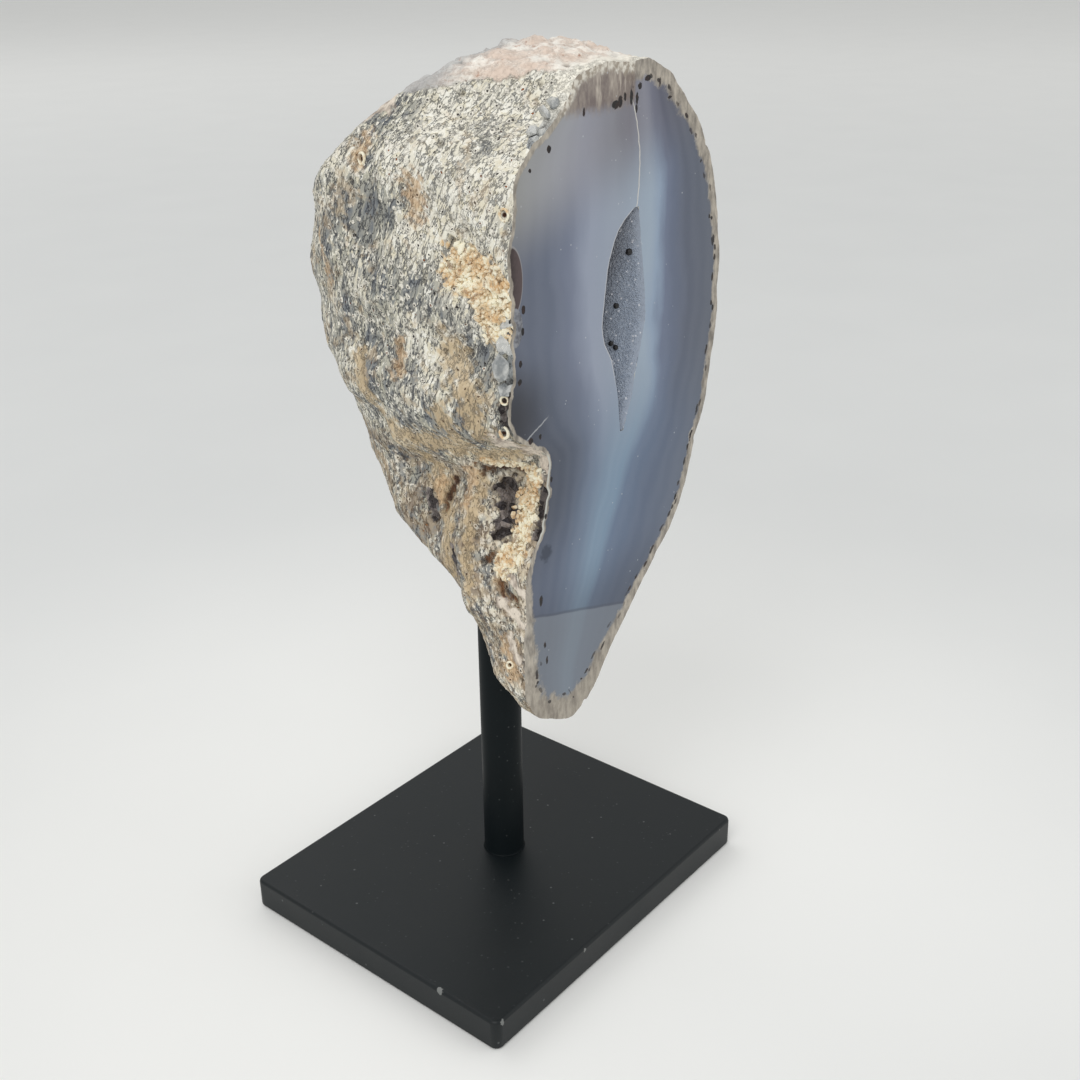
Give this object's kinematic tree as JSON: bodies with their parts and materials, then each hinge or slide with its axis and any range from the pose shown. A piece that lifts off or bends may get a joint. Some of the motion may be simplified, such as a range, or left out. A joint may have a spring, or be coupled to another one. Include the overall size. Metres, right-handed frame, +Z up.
{
  "type": "agate geode",
  "caption": "Sawn and polished banded agate nodule with rough rind and a small crystal-lined hollow, fixed upright on a black rod and plate stand.",
  "frame": {"origin": "middle of the stand plate's underside", "axes": "+Z up along the rod, -Y the side that the cut face looks to, +X to the right as seen from there"},
  "size_m": [0.1216, 0.109, 0.2574],
  "materials": {
    "stand_plate": "satin black paint on steel, with dust specks and small chips at the edges",
    "stand_rod": "satin black paint on steel, with one small chip",
    "agate": "polished blue-grey banded chalcedony on the cut face, rough grey and cream mottled rind elsewhere",
    "druse": "fine sparkling grey quartz crystals"
  },
  "bodies": {
    "root": {"stand_base": "stand_plate", "stand_rod": "stand_rod", "agate_geode": "agate", "crystal_crust": "druse"}
  },
  "joints": []
}
